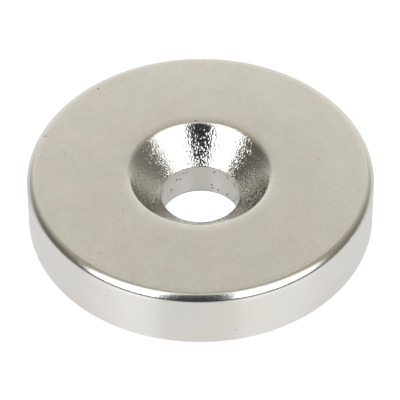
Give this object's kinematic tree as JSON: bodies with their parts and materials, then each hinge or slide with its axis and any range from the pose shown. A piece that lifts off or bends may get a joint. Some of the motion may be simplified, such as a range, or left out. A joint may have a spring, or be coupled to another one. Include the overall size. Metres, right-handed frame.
{
  "type": "countersunk ring magnet",
  "caption": "Flat round ring magnet with rounded edges and a countersunk screw hole through its middle, for holding steel against whatever it is screwed to.",
  "frame": {"origin": "middle of the plain back face, on the axis of the disc and its screw hole", "axes": "+Z along the axis of the disc, out of the countersunk face; X and Y lie in the back face and are alike"},
  "size_m": [0.025, 0.025, 0.0048],
  "materials": {
    "nickel_plating": "satin nickel plating over sintered neodymium-iron-boron"
  },
  "bodies": {
    "root": {"ring_magnet": "nickel_plating"}
  },
  "joints": []
}
